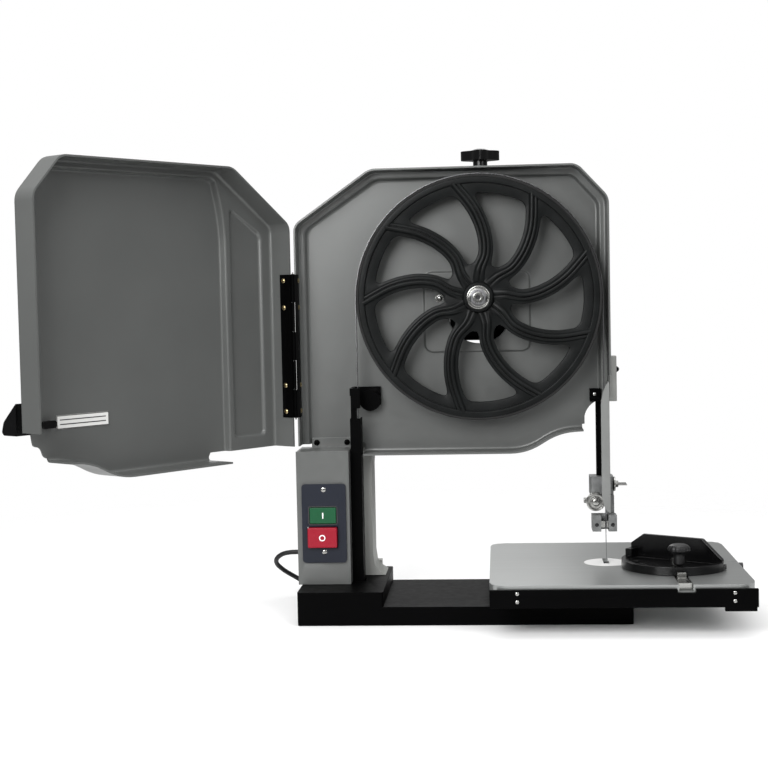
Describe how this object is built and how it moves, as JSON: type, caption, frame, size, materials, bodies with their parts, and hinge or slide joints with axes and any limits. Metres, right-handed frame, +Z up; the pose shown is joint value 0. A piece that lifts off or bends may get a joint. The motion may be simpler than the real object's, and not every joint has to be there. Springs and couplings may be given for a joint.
{
  "type": "vertical band saw, upper section",
  "caption": "Upper section of a vertical band saw with its wheel cover open: frame column, tensioned wheel and blade, guides, tilting table, mitre gauge and switch.",
  "frame": {"origin": "on the underside of the base casting, below the wheel axle, in the plane of the blade", "axes": "+Z up; +Y from the operator towards the back, along the wheel axle; +X to the operator's right"},
  "size_m": [0.9738, 0.608, 0.677],
  "materials": {
    "grey_paint": "satin mid-grey paint on sheet steel",
    "cast_paint": "satin light-grey paint on cast iron",
    "black_paint": "satin black paint",
    "wheel_paint": "semi-gloss black paint on cast iron",
    "tyre_rubber": "matt black rubber",
    "steel": "bright machined steel",
    "blade_steel": "rolled blade steel",
    "guide_iron": "cast grey guide metal",
    "black_plastic": "moulded black plastic",
    "navy_plastic": "dark navy switch plate",
    "green_plastic": "green button",
    "red_plastic": "red button",
    "ground_iron": "ground cast iron, satin",
    "label_white": "blank white plate",
    "cord_rubber": "black cord jacket"
  },
  "bodies": {
    "frame": {"base_casting": "black_paint", "column_casting": "cast_paint", "column_bolt": "steel", "wheel_housing": "grey_paint", "housing_screw": "steel", "hinge_leaf_fixed": "black_paint", "hinge_pin": "steel", "blade": "blade_steel", "return_guard": "black_paint", "return_guard_bracket": "black_paint", "guard_clip": "black_paint", "column_cover": "grey_paint", "switch_plate": "navy_plastic", "switch_body": "black_plastic", "trunnion_support": "black_paint", "strain_relief": "black_plastic", "power_cord": "cord_rubber", "cord_coil": "cord_rubber", "plug": "black_plastic"},
    "door": {"door_shell": "grey_paint", "door_label_plate": "label_white", "hinge_leaf_door": "black_paint"},
    "latch": {"door_latch": "black_plastic"},
    "bracket": {"tension_bracket": "black_paint", "tension_spring": "steel", "tilt_pin": "steel"},
    "tilt": {"tilt_block": "black_paint", "wheel_axle": "steel", "axle_washer": "steel", "axle_nut": "steel"},
    "wheel": {"upper_wheel": "wheel_paint", "wheel_tyre": "tyre_rubber", "wheel_bearing_front": "steel", "wheel_bearing_rear": "steel"},
    "tension_knob": {"tension_knob": "black_plastic"},
    "tracking_knob": {"tracking_knob": "black_plastic"},
    "post": {"guide_post": "black_paint", "guide_bracket": "guide_iron", "thrust_shaft": "steel", "guide_block_holder": "guide_iron", "blade_guard": "cast_paint", "thrust_clamp_screw": "steel"},
    "thrust_roller": {"thrust_bearing": "steel"},
    "guide_left": {"guide_block_left": "steel"},
    "guide_right": {"guide_block_right": "steel"},
    "wing": {"wing_screw": "steel"},
    "post_lock": {"post_lock_knob": "black_plastic"},
    "start": {"start_button": "green_plastic"},
    "stop": {"stop_button": "red_plastic"},
    "table": {"table": "ground_iron", "table_insert": "ground_iron", "front_rail": "black_paint", "trunnion_front": "black_paint", "trunnion_rear": "black_paint"},
    "level_pin": {"table_pin": "steel"},
    "trunnion_lock": {"trunnion_knob": "black_plastic"},
    "mitre_bar": {"mitre_bar": "steel"},
    "mitre_head": {"mitre_head": "black_paint", "mitre_fence": "black_paint"},
    "mitre_clamp": {"mitre_knob": "black_plastic"}
  },
  "joints": [
    {"name": "door_swing", "type": "hinge", "parent": "frame", "child": "door", "pos_m": [-0.2689, -0.012, 0.39], "axis": [0, 0, 1], "range_deg": [-45, 125.5]},
    {"name": "latch_turn", "type": "hinge", "parent": "door", "child": "latch", "pos_m": [-0.50525, -0.34334, 0.308], "axis": [0.8141, -0.5807, 0], "range_deg": [0, 90]},
    {"name": "tension_slide", "type": "slide", "parent": "frame", "child": "bracket", "axis": [0, 0, 1], "range_m": [-0.012, 0]},
    {"name": "tension_knob_turn", "type": "hinge", "parent": "frame", "child": "tension_knob", "pos_m": [0.005, 0.062, 0.66], "axis": [0, 0, 1], "range_deg": [0, 2880]},
    {"name": "wheel_tilt", "type": "hinge", "parent": "bracket", "child": "tilt", "pos_m": [0, 0.042, 0.535], "axis": [1, 0, 0], "range_deg": [-0.4, 1.5]},
    {"name": "tracking_knob_turn", "type": "hinge", "parent": "bracket", "child": "tracking_knob", "pos_m": [0, 0.1, 0.42], "axis": [0, 1, 0], "range_deg": [-192, 720]},
    {"name": "wheel_spin", "type": "hinge", "parent": "tilt", "child": "wheel", "pos_m": [0, 0, 0.458], "axis": [0, 1, 0], "continuous": true},
    {"name": "post_slide", "type": "slide", "parent": "frame", "child": "post", "axis": [0, 0, 1], "range_m": [-0.04, 0.09]},
    {"name": "thrust_spin", "type": "hinge", "parent": "post", "child": "thrust_roller", "pos_m": [0.1656, 0.0109, 0.1565], "axis": [0, 1, 0], "continuous": true},
    {"name": "guide_left_slide", "type": "slide", "parent": "post", "child": "guide_left", "axis": [-1, 0, 0], "range_m": [0, 0.004]},
    {"name": "guide_right_slide", "type": "slide", "parent": "post", "child": "guide_right", "axis": [1, 0, 0], "range_m": [0, 0.004]},
    {"name": "wing_turn", "type": "hinge", "parent": "post", "child": "wing", "pos_m": [0.196, 0.025, 0.181], "axis": [1, 0, 0], "range_deg": [0, 720]},
    {"name": "post_lock_turn", "type": "hinge", "parent": "frame", "child": "post_lock", "pos_m": [0.1925, 0.078, 0.347], "axis": [0, 1, 0], "range_deg": [0, 720]},
    {"name": "start_press", "type": "slide", "parent": "frame", "child": "start", "axis": [0, 1, 0], "range_m": [0, 0.003], "stiffness_N_per_m": 300},
    {"name": "stop_press", "type": "slide", "parent": "frame", "child": "stop", "axis": [0, 1, 0], "range_m": [0, 0.003], "stiffness_N_per_m": 300},
    {"name": "table_tilt", "type": "hinge", "parent": "frame", "child": "table", "pos_m": [0.178, 0, 0.07], "axis": [0, 1, 0], "range_deg": [-4, 10]},
    {"name": "level_pin_pull", "type": "slide", "parent": "table", "child": "level_pin", "axis": [1, 0, 0], "range_m": [0, 0.024]},
    {"name": "trunnion_lock_turn", "type": "hinge", "parent": "frame", "child": "trunnion_lock", "pos_m": [0.178, 0.06, 0.04], "axis": [0, 1, 0], "range_deg": [0, 720]},
    {"name": "mitre_slide", "type": "slide", "parent": "table", "child": "mitre_bar", "axis": [0, 1, 0], "range_m": [-0.12, 0.1]},
    {"name": "mitre_swivel", "type": "hinge", "parent": "mitre_bar", "child": "mitre_head", "pos_m": [0.272, -0.042, 0.075], "axis": [0, 0, 1], "range_deg": [-26, 92]},
    {"name": "mitre_clamp_turn", "type": "hinge", "parent": "mitre_bar", "child": "mitre_clamp", "pos_m": [0.272, -0.097, 0.1], "axis": [0, 0, 1], "range_deg": [0, 720]}
  ],
  "couplings": [
    {"joint": "tension_knob_turn", "follows": "tension_slide", "rad_per_m": -4188.7},
    {"joint": "tracking_knob_turn", "follows": "wheel_tilt", "ratio": 479.9}
  ]
}
